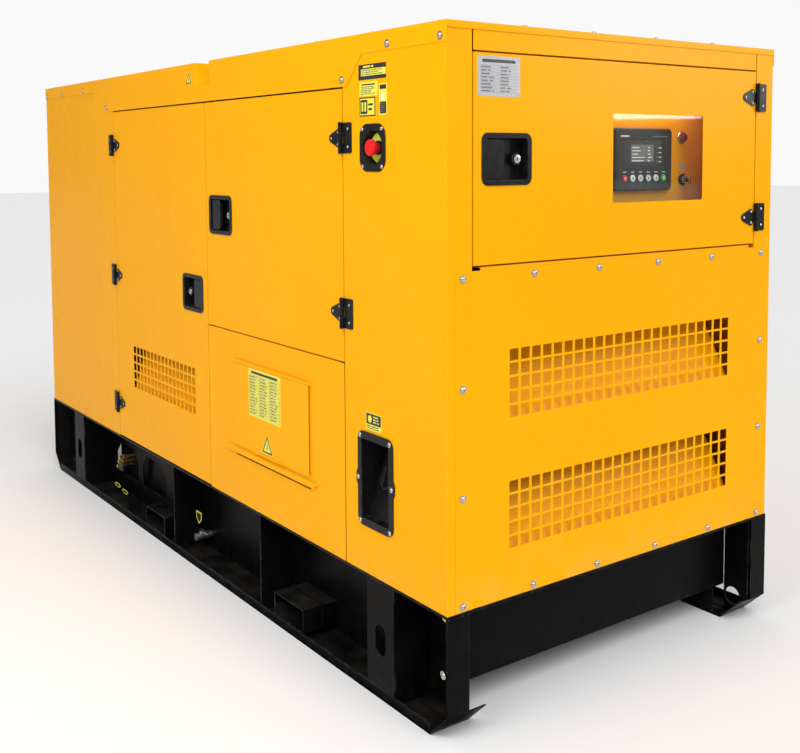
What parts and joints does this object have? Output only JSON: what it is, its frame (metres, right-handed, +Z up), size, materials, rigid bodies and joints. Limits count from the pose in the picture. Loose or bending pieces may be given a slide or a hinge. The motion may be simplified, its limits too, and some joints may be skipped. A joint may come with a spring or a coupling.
{
  "type": "skid-mounted diesel generator set",
  "caption": "Silenced diesel generator in a yellow sheet-steel canopy on a black skid, with side service doors, windowed control door, air grilles, fork pockets and drag holes.",
  "frame": {"origin": "on the ground under the middle of the skid", "axes": "+X towards the control end, +Z up, -Y towards the side with the emergency stop and fuel filler"},
  "size_m": [2.7165, 1.1715, 1.606],
  "materials": {
    "bare_steel": "satin",
    "battery_case": "satin",
    "belt_rubber": "matte",
    "black_paint": "semi-gloss",
    "black_plastic": "satin",
    "brass": "satin",
    "breaker_case": "matte",
    "breaker_handle": "matte",
    "button_green": "satin",
    "button_red": "satin",
    "button_white": "satin",
    "controller_case": "satin",
    "engine_paint": "semi-gloss",
    "generator_paint": "semi-gloss",
    "radiator_core": "matte",
    "red_plastic": "gloss",
    "window_glass": "clear",
    "yellow_paint": "gloss",
    "zinc_bolt": "bright"
  },
  "bodies": {
    "frame": {"rail_left": "black_paint", "rail_right": "black_paint", "rail_webs": "black_paint", "cross_members": "black_paint", "fork_pockets": "black_paint", "fuel_tank": "black_paint", "filler_box": "black_plastic", "drain_fittings": "brass", "front_corner_left": "yellow_paint", "plain_corners": "yellow_paint", "lower_panels": "yellow_paint", "front_frame": "yellow_paint", "front_grille_panel": "yellow_paint", "rear_panel": "yellow_paint", "roof": "yellow_paint", "lifting_frame": "black_paint", "canopy_bolts": "zinc_bolt", "hinge_leaves": "black_plastic", "estop_bezel": "black_plastic", "control_panel": "yellow_paint", "controller": "controller_case", "breaker": "breaker_case", "engine": "engine_paint", "alternator": "generator_paint", "fan_belt": "belt_rubber", "radiator": "radiator_core", "exhaust": "bare_steel", "air_cleaner": "black_plastic", "battery": "battery_case", "rubber_mounts": "belt_rubber"},
    "filler_cap": {"filler_cap": "black_plastic"},
    "drain_valve_lever": {"drain_valve_lever": "bare_steel"},
    "cable_flap": {"cable_flap": "yellow_paint"},
    "estop_button": {"estop_button": "red_plastic"},
    "key_switch": {"key_switch": "zinc_bolt"},
    "breaker_handle": {"breaker_handle": "breaker_handle"},
    "crank_train": {"crank_train": "bare_steel"},
    "fan": {"fan": "black_plastic"},
    "controller_button_1": {"controller_button_1": "button_red"},
    "controller_button_2": {"controller_button_2": "button_white"},
    "controller_button_3": {"controller_button_3": "button_white"},
    "controller_button_4": {"controller_button_4": "button_white"},
    "controller_button_5": {"controller_button_5": "button_white"},
    "controller_button_6": {"controller_button_6": "button_green"},
    "service_door_left": {"service_door_left": "yellow_paint", "fittings_service_left": "black_plastic"},
    "paddle_service_left": {"paddle_service_left": "black_plastic"},
    "service_door_right": {"service_door_right": "yellow_paint", "fittings_service_right": "black_plastic"},
    "paddle_service_right": {"paddle_service_right": "black_plastic"},
    "output_door_left": {"output_door_left": "yellow_paint", "fittings_output_left": "black_plastic"},
    "paddle_output_left": {"paddle_output_left": "black_plastic"},
    "output_door_right": {"output_door_right": "yellow_paint", "fittings_output_right": "black_plastic"},
    "paddle_output_right": {"paddle_output_right": "black_plastic"},
    "control_door": {"control_door": "yellow_paint", "fittings_control": "black_plastic", "window_pane": "window_glass"},
    "paddle_control": {"paddle_control": "black_plastic"}
  },
  "joints": [
    {"name": "service_door_left_swing", "type": "hinge", "parent": "frame", "child": "service_door_left", "pos_m": [-0.594, -0.5795, 0.889], "axis": [0, 0, -1], "range_deg": [0, 120]},
    {"name": "service_door_right_swing", "type": "hinge", "parent": "frame", "child": "service_door_right", "pos_m": [-0.594, 0.5795, 0.889], "axis": [0, 0, 1], "range_deg": [0, 120]},
    {"name": "output_door_left_swing", "type": "hinge", "parent": "frame", "child": "output_door_left", "pos_m": [0.937, -0.5795, 1.14], "axis": [0, 0, 1], "range_deg": [0, 120]},
    {"name": "output_door_right_swing", "type": "hinge", "parent": "frame", "child": "output_door_right", "pos_m": [0.937, 0.5795, 1.14], "axis": [0, 0, -1], "range_deg": [0, 120]},
    {"name": "control_door_swing", "type": "hinge", "parent": "frame", "child": "control_door", "pos_m": [1.3545, 0.5, 1.303], "axis": [0, 0, 1], "range_deg": [0, 120]},
    {"name": "paddle_output_left_pull", "type": "hinge", "parent": "output_door_left", "child": "paddle_output_left", "pos_m": [0.206, -0.569, 1.14], "axis": [0, 0, -1], "range_deg": [0, 40], "stiffness_Nm_per_rad": 0.2},
    {"name": "paddle_output_right_pull", "type": "hinge", "parent": "output_door_right", "child": "paddle_output_right", "pos_m": [0.206, 0.569, 1.14], "axis": [0, 0, 1], "range_deg": [0, 40], "stiffness_Nm_per_rad": 0.2},
    {"name": "paddle_service_left_pull", "type": "hinge", "parent": "service_door_left", "child": "paddle_service_left", "pos_m": [0.116, -0.569, 0.887], "axis": [0, 0, 1], "range_deg": [0, 40], "stiffness_Nm_per_rad": 0.2},
    {"name": "paddle_service_right_pull", "type": "hinge", "parent": "service_door_right", "child": "paddle_service_right", "pos_m": [0.116, 0.569, 0.887], "axis": [0, 0, -1], "range_deg": [0, 40], "stiffness_Nm_per_rad": 0.2},
    {"name": "paddle_control_pull", "type": "hinge", "parent": "control_door", "child": "paddle_control", "pos_m": [1.344, -0.458, 1.303], "axis": [0, 0, -1], "range_deg": [0, 40], "stiffness_Nm_per_rad": 0.2},
    {"name": "cable_flap_lift", "type": "hinge", "parent": "frame", "child": "cable_flap", "pos_m": [0.5555, -0.578, 0.718], "axis": [-1, 0, 0], "range_deg": [0, 100]},
    {"name": "estop_press", "type": "slide", "parent": "frame", "child": "estop_button", "axis": [0, 1, 0], "range_m": [0, 0.006]},
    {"name": "key_turn", "type": "hinge", "parent": "frame", "child": "key_switch", "pos_m": [1.262, 0.3, 1.246], "axis": [1, 0, 0], "range_deg": [0, 90]},
    {"name": "filler_cap_turn", "type": "hinge", "parent": "frame", "child": "filler_cap", "pos_m": [1.0725, -0.521, 0.53], "axis": [0, -0.9448, 0.3278], "range_deg": [0, 90]},
    {"name": "drain_valve_turn", "type": "hinge", "parent": "frame", "child": "drain_valve_lever", "pos_m": [-0.07, -0.499, 0.073], "axis": [0, 0, -1], "range_deg": [0, 90]},
    {"name": "breaker_toggle", "type": "hinge", "parent": "frame", "child": "breaker_handle", "pos_m": [0.5555, -0.531, 0.595], "axis": [1, 0, 0], "range_deg": [-25, 25]},
    {"name": "controller_button_1_press", "type": "slide", "parent": "frame", "child": "controller_button_1", "axis": [-1, 0, 0], "range_m": [0, 0.0012], "stiffness_N_per_m": 400},
    {"name": "controller_button_2_press", "type": "slide", "parent": "frame", "child": "controller_button_2", "axis": [-1, 0, 0], "range_m": [0, 0.0012], "stiffness_N_per_m": 400},
    {"name": "controller_button_3_press", "type": "slide", "parent": "frame", "child": "controller_button_3", "axis": [-1, 0, 0], "range_m": [0, 0.0012], "stiffness_N_per_m": 400},
    {"name": "controller_button_4_press", "type": "slide", "parent": "frame", "child": "controller_button_4", "axis": [-1, 0, 0], "range_m": [0, 0.0012], "stiffness_N_per_m": 400},
    {"name": "controller_button_5_press", "type": "slide", "parent": "frame", "child": "controller_button_5", "axis": [-1, 0, 0], "range_m": [0, 0.0012], "stiffness_N_per_m": 400},
    {"name": "controller_button_6_press", "type": "slide", "parent": "frame", "child": "controller_button_6", "axis": [-1, 0, 0], "range_m": [0, 0.0012], "stiffness_N_per_m": 400},
    {"name": "crank_spin", "type": "hinge", "parent": "frame", "child": "crank_train", "pos_m": [0, 0, 0.64], "axis": [1, 0, 0], "continuous": true},
    {"name": "fan_spin", "type": "hinge", "parent": "frame", "child": "fan", "pos_m": [-0.61, 0, 0.86], "axis": [1, 0, 0], "continuous": true}
  ],
  "couplings": [
    {"joint": "fan_spin", "follows": "crank_spin", "ratio": 0.86842}
  ]
}
